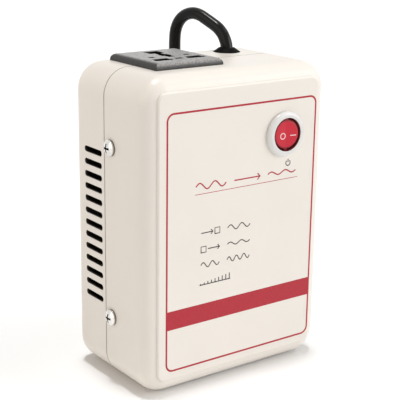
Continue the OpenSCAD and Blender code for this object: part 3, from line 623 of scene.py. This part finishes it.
def smoothed(points, steps=5):
    """Points of a smooth curve through the given ones, with its ends kept straight"""
    p = [Vector(q) for q in points]
    p = [2 * p[0] - p[1], *p, 2 * p[-1] - p[-2]]
    route = []
    for a, b, c, d in zip(p, p[1:], p[2:], p[3:]):
        for i in range(steps):
            t = i / steps
            route.append(0.5 * (2 * b + (c - a) * t + (2 * a - 5 * b + 4 * c - d) * t ** 2
                                + (3 * b - a - 3 * c + d) * t ** 3))
    return [*route, p[-2]]


def coil_route(middle):
    """Middle line of the coil, without its ends"""
    turns = COIL_IN + COIL_CLIMB + COIL_OUT
    route = []
    for i in range(int(turns * COIL_POINTS_PER_TURN) + 1):
        u = i / COIL_POINTS_PER_TURN
        wound = u if u < COIL_IN else COIL_IN if u < COIL_IN + COIL_CLIMB else 2 * COIL_IN + COIL_CLIMB - u
        radius = COIL_OUTER - COIL_STEP * wound
        rise = COIL_STEP * min(1, max(0, (u - COIL_IN) / COIL_CLIMB))
        angle = math.tau * u
        route.append(middle + MM * Vector((radius * math.sin(angle), -radius * math.cos(angle), rise)))
    return route


def lead_route():
    """Middle line of the lead, from the bushing to the plug"""
    across, back = math.cos(LOOP_HEADING), math.sin(LOOP_HEADING)
    loop = [LEAD_EXIT + MM * Vector((along * across, along * back, up)) for along, up in LOOP_STEPS]
    top = loop[-1].z
    floor = Vector((loop[-1].x, loop[-1].y, 0))
    fall = [
        floor + Vector((0, 0, top + (FALL_LOW * MM - top) * part / FALL_PARTS))
        for part in range(1, FALL_PARTS + 1)
    ]
    foot = [floor + MM * Vector(step) for step in FOOT_STEPS]
    middle = floor + MM * Vector(COIL_MIDDLE)
    tail = [middle + MM * Vector(step) for step in TAIL_STEPS]
    return [*smoothed([*loop, *fall, *foot]), *coil_route(middle), *smoothed(tail)]


# Operators

class ConverterOperator:
    """What the converter's operators share"""

    bl_options = {"REGISTER", "UNDO"}

    @staticmethod
    def looks(context):
        """Colours that the user can change"""
        return context.scene.converter_colours


class CONVERTER_OT_stage(ConverterOperator, bpy.types.Operator):
    """Floor, light and camera"""

    bl_idname = "converter.stage"
    bl_label = "Stage"

    AIM = Vector((0.0049, 0.007, 0.0829))
    DISTANCE = 0.5696
    AZIMUTH, ELEVATION, ROLL = -36.34, 15.98, 0.77
    LENS, SENSOR = 98.0, 36.0
    NEAR, FAR = 0.01, 50
    FLOOR_HALF, FLOOR_DROP = 6.0, 0.0003
    AMBIENT = 0.30
    WHITE, WARM = (1, 1, 1), (1, 0.85, 0.68)
    # Name, bearing right of the front, height, level, spread and colour of each lamp
    LAMPS = (
        ("key", -170, 87.5, 0.60, 10, WHITE), ("front", 48, 14, 0.54, 40, WHITE),
        ("right", 60, 52, 0.09, 20, WHITE), ("side", -80, 20, 0.25, 60, WARM),
    )

    def camera(self, context):
        """Camera at a bearing right of the front and a height, with a little roll"""
        a, e, r = (math.radians(v) for v in (self.AZIMUTH, self.ELEVATION, self.ROLL))
        back = Vector((math.sin(a) * math.cos(e), -math.cos(a) * math.cos(e), math.sin(e)))
        right = Vector((math.cos(a), math.sin(a), 0))
        up = back.cross(right)
        turned_right = math.cos(r) * right + math.sin(r) * up
        turned_up = math.cos(r) * up - math.sin(r) * right
        data = bpy.data.cameras.new("camera")
        data.lens, data.sensor_width = self.LENS, self.SENSOR
        data.clip_start, data.clip_end = self.NEAR, self.FAR
        camera = bpy.data.objects.new("camera", data)
        context.scene.collection.objects.link(camera)
        turn = Matrix((turned_right, turned_up, back)).transposed().to_4x4()
        camera.matrix_world = Matrix.Translation(self.AIM + self.DISTANCE * back) @ turn
        context.scene.camera = camera

    def lamp(self, context, name, bearing, height, level, spread, tint):
        """Soft lamp far away, at a bearing right of the front; a level of 1 lights white to white"""
        data = bpy.data.lights.new(name, "SUN")
        data.energy, data.angle, data.color = math.pi * level, math.radians(spread), tint
        lamp = bpy.data.objects.new(name, data)
        context.scene.collection.objects.link(lamp)
        a, e = math.radians(bearing), math.radians(height)
        source = Vector((math.sin(a) * math.cos(e), -math.cos(a) * math.cos(e), math.sin(e)))
        lamp.rotation_euler = source.to_track_quat("Z", "Y").to_euler()

    def floor(self, context):
        """Pale floor just under the feet"""
        half = self.FLOOR_HALF
        mesh = bpy.data.meshes.new("floor")
        corners = [(-half, -half), (half, -half), (half, half), (-half, half)]
        mesh.from_pydata([(x, y, -self.FLOOR_DROP) for x, y in corners], [], [(0, 1, 2, 3)])
        floor = bpy.data.objects.new("floor", mesh)
        context.scene.collection.objects.link(floor)
        f = Finish("pale_floor", self.looks(context).floor, 0.9, Specular_IOR_Level=0.1)
        f.mottle(0.01, 3)
        mesh.materials.append(f.material)

    def world(self, context):
        """Even light from all round, seen as white by the camera and in reflections"""
        world = bpy.data.worlds.new("studio")
        context.scene.world = world
        world.use_nodes = True
        work = NodeWork()
        work.tree = world.node_tree
        light = work.tree.nodes["Background"]
        light.inputs["Color"].default_value = (*self.WHITE, 1)
        light.inputs["Strength"].default_value = self.AMBIENT
        shown = work.node("ShaderNodeBackground", {"Color": (*self.WHITE, 1)})
        path = work.node("ShaderNodeLightPath").outputs
        reflected = work.math("MAXIMUM", path["Is Glossy Ray"], path["Is Transmission Ray"])
        seen = work.math("MAXIMUM", path["Is Camera Ray"], reflected)
        mix = work.node("ShaderNodeMixShader", {0: seen, 1: light.outputs[0], 2: shown.outputs[0]})
        work.fill(work.tree.nodes["World Output"].inputs["Surface"], mix.outputs[0])

    def execute(self, context):
        context.scene.view_settings.view_transform = "Standard"
        self.camera(context)
        self.floor(context)
        self.world(context)
        for lamp in self.LAMPS:
            self.lamp(context, *lamp)
        return {"FINISHED"}


class CONVERTER_OT_mains_lead(ConverterOperator, bpy.types.Operator):
    """Sheath of the mains lead, its bushing, the tie round its coil and its plug"""

    bl_idname = "converter.mains_lead"
    bl_label = "Mains lead"

    # Stations of the plug from the lead to its face: distance, half width, half thickness and squareness
    STATIONS = (
        (0.0, 0.0036, 0.0036, 2.0), (0.005, 0.0041, 0.0041, 2.0), (0.013, 0.0049, 0.0049, 2.0),
        (0.0142, 0.0056, 0.0052, 2.2), (0.0155, 0.0074, 0.0055, 2.6), (0.018, 0.0094, 0.0058, 3.0),
        (0.022, 0.0112, 0.0061, 3.4), (0.027, 0.0129, 0.0064, 3.8), (0.033, 0.0149, 0.0067, 4.2),
        (0.038, 0.0165, 0.00685, 4.6), (0.0425, 0.01765, 0.00685, 5.0), (0.0436, 0.0174, 0.0066, 5.0),
        (0.044, 0.0169, 0.0061, 5.0),
    )
    AROUND = 56
    RELIEF = 0.0128
    RIB_RADIUS, RIB_GROWTH = 0.0036, 0.075

    def execute(self, context):
        colours, sizes = self.looks(context), context.scene.converter_lead
        sheath = moulded_finish("lead_sheath", colours.sheath, 0.22, 900, 0.06, Specular_IOR_Level=0.16)
        route = lead_route()
        mesh = swept_growth().run(
            "mains_lead", polyline("lead_route", route),
            Radius=LEAD_DIAMETER / 2, Sides=sizes.sides, Finish=sheath,
        )
        lead = piece_of("mains_lead", mesh, sheath, "case")
        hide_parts("cord_run", "cord_coil", "cord_tail")
        plug = self.plug(colours, sizes)
        dress(sheath, "lead_end")
        rubber = moulded_finish("bushing_rubber", colours.sheath, 0.5, 700, 0.15, Specular_IOR_Level=0.03)
        dress(rubber, "lead_bushing")
        dress(moulded_finish("tie_strap", (0.03, 0.03, 0.03), 0.6, 1200, 0.5), "coil_tie")
        dress(prong_finish(), "plug_pins")
        return {"FINISHED"}

    def plug(self, colours, sizes):
        """Moulded plug, lofted through its stations, with ribs on its strain relief"""
        finish = moulded_finish("plug_black", (0.012, 0.011, 0.011), 0.4, 700, 0.2, Specular_IOR_Level=0.3)
        mesh = bmesh.new()
        rings = []
        for distance, half_width, half_height, square in self.STATIONS:
            ring = []
            for i in range(self.AROUND):
                a = math.tau * i / self.AROUND
                c, s = math.cos(a), math.sin(a)
                reach = (abs(c) ** square + abs(s) ** square) ** (-1 / square)
                y = PLUG_MIDDLE.y + half_width * reach * c
                z = PLUG_MIDDLE.z + half_height * reach * s
                ring.append(mesh.verts.new((PLUG_HIGH.x - distance, y, z)))
            rings.append(ring)
        for a, b in zip(rings, rings[1:]):
            for i in range(self.AROUND):
                j = (i + 1) % self.AROUND
                mesh.faces.new((a[i], a[j], b[j], b[i])).smooth = True
        mesh.faces.new(rings[0])
        mesh.faces.new(rings[-1])
        bmesh.ops.recalc_face_normals(mesh, faces=mesh.faces)
        step = self.RELIEF / sizes.ribs
        ribs = ribs_growth().run(
            "relief_ribs", bpy.data.meshes.new("relief_line"),
            Count=sizes.ribs, Start=(PLUG_HIGH.x - step / 2, PLUG_MIDDLE.y, PLUG_MIDDLE.z),
            Step=(-step, 0.0, 0.0), Radius=self.RIB_RADIUS, Growth=self.RIB_GROWTH,
            Width=sizes.rib_width, Finish=finish,
        )
        mesh.from_mesh(ribs)
        data = bpy.data.meshes.new("plug")
        mesh.to_mesh(data)
        mesh.free()
        plug = piece_of("plug", data, finish, "case")
        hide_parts("plug_body")
        return plug


class CONVERTER_OT_case(ConverterOperator, bpy.types.Operator):
    """Paint of the case, its screws and its feet"""

    bl_idname = "converter.case"
    bl_label = "Case"

    def execute(self, context):
        dress(paint_finish(self.looks(context)), "front_shell", "rear_shell")
        dress(screw_finish(self.looks(context)), "case_screws")
        dress(moulded_finish("foot_rubber", (0.02, 0.02, 0.02), 0.7, 800, 0.4), "rubber_feet")
        return {"FINISHED"}


class CONVERTER_OT_panel_print(ConverterOperator, bpy.types.Operator):
    """Red frame, band and rule on the front panel, and plain symbols"""

    bl_idname = "converter.panel_print"
    bl_label = "Panel print"

    # Power sign under the switch: its middle, radius, gap at the top, and stem
    POWER_AT, POWER_RADIUS = (0.0299, 0.1074), 0.0014
    POWER_START, POWER_END, POWER_STEPS = 130, 410, 24
    STEM_LOW, STEM_HIGH = 0.0003, 0.0019
    # Conversion over the rule: its height, the width, left ends and rises of its waves, and its arrow
    CONVERSION_HEIGHT, CONVERSION_WIDTH = 0.1031, 0.018
    BEFORE_LEFT, BEFORE_RISE = -0.0270, 0.0016
    AFTER_LEFT, AFTER_RISE = 0.0170, 0.0009
    BETWEEN, BETWEEN_HEAD = (-0.0040, 0.0120), 0.0016
    # Rows below: heights, two columns, and the sizes of what stands in them
    ROW_HEIGHTS = (0.0796, 0.0712, 0.0632, 0.0548)
    FIRST, SECOND = -0.0235, -0.0075
    BOX, ARROW, HEAD, GAP = 0.0030, 0.0070, 0.0012, 0.0012
    WAVE, TALL, LOW = 0.014, 0.0013, 0.0008
    WAVE_STEPS = 16
    # Bars of the load: count, step, foot below the row, first height, growth, and their base line
    BARS, BAR_STEP, BAR_FOOT, BAR_FIRST, BAR_GROWTH = 9, 0.0022, 0.0014, 0.0004, 0.0003
    BASE_DROP, BASE_MARGIN = 0.0017, 0.0006

    def execute(self, context):
        colours, sizes = self.looks(context), context.scene.converter_print
        red = ink_finish("red_ink", colours.print_red)
        mesh = bmesh.new()
        half = sizes.line / 2
        inked_line(mesh, rounded_outline(
            half - sizes.left, sizes.right - half, sizes.bottom + half, sizes.top - half, sizes.corner - half
        ), sizes.line, sizes.film, on_panel, closed=True)
        middle = (sizes.band_low + sizes.band_high) / 2
        inked_line(mesh, [
            (-sizes.left + sizes.line, middle), (0, middle), (sizes.right - sizes.line, middle),
        ], sizes.band_high - sizes.band_low, sizes.film, on_panel)
        rule = [(u, sizes.rule_height) for u in (-sizes.rule_left, 0, sizes.rule_right)]
        inked_line(mesh, rule, sizes.rule_line, sizes.film, on_panel)
        for points in self.conversion():
            inked_line(mesh, points, sizes.heading_line, sizes.film, on_panel)
        piece_of("panel_print", finished_mesh("panel_print", mesh), red, "case")
        mesh = bmesh.new()
        for points in self.symbols():
            inked_line(mesh, points, sizes.symbol_line, sizes.film, on_panel)
        dark = ink_finish("dark_ink", colours.print_dark)
        piece_of("panel_symbols", finished_mesh("panel_symbols", mesh), dark, "case")
        return {"FINISHED"}

    def wave(self, left, width, height, rise, periods):
        """Sine line from its left end"""
        steps = self.WAVE_STEPS * periods
        return [
            (left + width * i / steps, height + rise * math.sin(math.tau * periods * i / steps))
            for i in range(steps + 1)
        ]

    @staticmethod
    def arrow(left, right, height, head):
        """Shaft and head of an arrow to the right"""
        return [
            [(left, height), (right, height)],
            [(right - head, height + head), (right, height), (right - head, height - head)],
        ]

    @staticmethod
    def box(left, height, side):
        """Square outline"""
        half = side / 2
        return [(left, height - half), (left, height + half), (left + side, height + half),
                (left + side, height - half), (left, height - half)]

    def conversion(self):
        """A tall wave, an arrow and a low wave"""
        z, width = self.CONVERSION_HEIGHT, self.CONVERSION_WIDTH
        yield self.wave(self.BEFORE_LEFT, width, z, self.BEFORE_RISE, 2)
        yield from self.arrow(*self.BETWEEN, z, self.BETWEEN_HEAD)
        yield self.wave(self.AFTER_LEFT, width, z, self.AFTER_RISE, 2)

    def symbols(self):
        """Power sign, then rows for what goes in, what comes out, the frequency and the load"""
        u, v = self.POWER_AT
        x = self.FIRST
        into, out, pace, load = self.ROW_HEIGHTS
        yield arc(self.POWER_AT, self.POWER_RADIUS, self.POWER_START, self.POWER_END, self.POWER_STEPS)
        yield [(u, v + self.STEM_LOW), (u, v + self.STEM_HIGH)]
        yield from self.arrow(x, x + self.ARROW, into, self.HEAD)
        yield self.box(x + self.ARROW + self.GAP, into, self.BOX)
        yield self.wave(self.SECOND, self.WAVE, into, self.TALL, 2)
        yield self.box(x, out, self.BOX)
        shaft = x + self.BOX + self.GAP
        yield from self.arrow(shaft, shaft + self.ARROW, out, self.HEAD)
        yield self.wave(self.SECOND, self.WAVE, out, self.LOW, 2)
        yield self.wave(x, self.BOX + self.GAP + self.ARROW, pace, self.TALL, 2)
        yield self.wave(self.SECOND, self.WAVE, pace, self.TALL, 3)
        foot = load - self.BAR_FOOT
        for bar in range(self.BARS):
            left = x + self.BAR_STEP * bar
            yield [(left, foot), (left, foot + self.BAR_FIRST + self.BAR_GROWTH * bar)]
        end = x + self.BAR_STEP * (self.BARS - 1)
        base = load - self.BASE_DROP
        yield [(x - self.BASE_MARGIN, base), (end + self.BASE_MARGIN, base)]


class CONVERTER_OT_switch(ConverterOperator, bpy.types.Operator):
    """Bezel and rocker of the switch, with its off and on marks"""

    bl_idname = "converter.switch"
    bl_label = "Switch"

    # Rocker: turn at rest, slope of its two wings, and how far the valley between them stands out
    REST = math.radians(-6)
    WING = math.radians(5)
    VALLEY = 0.0012
    # Marks: ring and dash from the rocker's middle, their stroke and the thickness of their ink
    RING_AT, RING_RADIUS, RING_STEPS = (-0.0019, -0.0008), 0.00145, 30
    DASH_FROM, DASH_TO, DASH_HEIGHT = 0.0025, 0.0058, -0.00075
    STROKE, FILM = 0.0005, 0.00005

    def on_rocker(self, u, v, height):
        """Place on the rocker's face, which rests with its left side pressed in"""
        side = 1 if u > 0 else -1
        x = u * math.cos(self.WING) - side * height * math.sin(self.WING)
        out = self.VALLEY + abs(u) * math.sin(self.WING) + height * math.cos(self.WING)
        turned_x = x * math.cos(self.REST) + out * math.sin(self.REST)
        turned_out = out * math.cos(self.REST) - x * math.sin(self.REST)
        return SWITCH_MIDDLE + Vector((turned_x, -turned_out, v))

    def execute(self, context):
        colours = self.looks(context)
        dress(bezel_finish(colours), "switch_housing")
        dress(rocker_finish(colours), "switch_rocker")
        mesh = bmesh.new()
        ring = arc(self.RING_AT, self.RING_RADIUS, 0, 360, self.RING_STEPS)[:-1]
        inked_line(mesh, ring, self.STROKE, self.FILM, self.on_rocker, closed=True)
        dash = [(self.DASH_FROM, self.DASH_HEIGHT), (self.DASH_TO, self.DASH_HEIGHT)]
        inked_line(mesh, dash, self.STROKE, self.FILM, self.on_rocker)
        marks = ink_finish("mark_ink", colours.marks)
        piece_of("rocker_marks", finished_mesh("rocker_marks", mesh), marks, "rocker")
        return {"FINISHED"}


class CONVERTER_OT_socket(ConverterOperator, bpy.types.Operator):
    """Plate, body and contacts of the socket"""

    bl_idname = "converter.socket"
    bl_label = "Socket"

    def execute(self, context):
        dress(socket_finish(self.looks(context)), "socket_plate", "socket_body")
        dress(metal_finish("contact_brass", (0.70, 0.50, 0.22), 0.3), "live_contact", "neutral_contact",
              "earth_contact", "common_terminal", "load_terminal", "contact_lever", "rocker_plunger")
        return {"FINISHED"}


class CONVERTER_OT_inside(ConverterOperator, bpy.types.Operator):
    """Transformer, wires and fixings inside the case"""

    bl_idname = "converter.inside"
    bl_label = "Inside"

    def execute(self, context):
        dress(wound_finish("sheet_edges", (0.22, 0.22, 0.23), "Y", 100, 0.8), "core_e", "core_i")
        dress(wound_finish("copper_rows", (0.55, 0.22, 0.08), "Z", 80, 0.6),
              "common_winding", "series_winding")
        dress(moulded_finish("bobbin_cream", (0.60, 0.54, 0.40), 0.5, 500, 0.2), "bobbin")
        dress(moulded_finish("wrap_amber", (0.62, 0.40, 0.06), 0.35, 300, 0.15), "winding_wrap")
        dress(moulded_finish("cutout_black", (0.03, 0.03, 0.032), 0.5, 600, 0.2), "thermal_cutout")
        dress(metal_finish("zinc_plate", (0.55, 0.56, 0.58), 0.35), "clinch_nuts", "core_bolts", "core_nuts",
              "core_spacers", "rocker_spring")
        dress(moulded_finish("brown_insulation", (0.10, 0.035, 0.012), 0.4, 600, 0.1),
              "live_in_wire", "switched_wire", "live_out_wire")
        dress(moulded_finish("blue_insulation", (0.02, 0.07, 0.30), 0.4, 600, 0.1),
              "neutral_in_wire", "neutral_out_wire")
        return {"FINISHED"}


class VIEW3D_PT_converter(bpy.types.Panel):
    """Sizes, colours and steps of the converter"""

    bl_label = "Converter"
    bl_space_type = "VIEW_3D"
    bl_region_type = "UI"
    bl_category = "Converter"

    def draw(self, context):
        for operator in OPERATORS:
            self.layout.operator(operator.bl_idname)
        for name, _ in GROUPS:
            group = getattr(context.scene, name)
            box = self.layout.box()
            for key in group.bl_rna.properties.keys():
                if key not in ("rna_type", "name"):
                    box.prop(group, key)


GROUPS = (
    ("converter_colours", ConverterColours),
    ("converter_print", ConverterPrint),
    ("converter_lead", ConverterLead),
)
OPERATORS = (
    CONVERTER_OT_stage, CONVERTER_OT_mains_lead, CONVERTER_OT_case, CONVERTER_OT_panel_print,
    CONVERTER_OT_switch, CONVERTER_OT_socket, CONVERTER_OT_inside,
)


def register():
    for name, group in GROUPS:
        bpy.utils.register_class(group)
        setattr(bpy.types.Scene, name, PointerProperty(type=group))
    for made in (*OPERATORS, VIEW3D_PT_converter):
        bpy.utils.register_class(made)


def unregister():
    for made in reversed((*OPERATORS, VIEW3D_PT_converter)):
        bpy.utils.unregister_class(made)
    for name, group in reversed(GROUPS):
        delattr(bpy.types.Scene, name)
        bpy.utils.unregister_class(group)


def main():
    """Makes the stage and every piece"""
    register()
    bpy.ops.converter.stage()
    bpy.ops.converter.mains_lead()
    bpy.ops.converter.case()
    bpy.ops.converter.panel_print()
    bpy.ops.converter.switch()
    bpy.ops.converter.socket()
    bpy.ops.converter.inside()


if __name__ == "__main__":
    main()
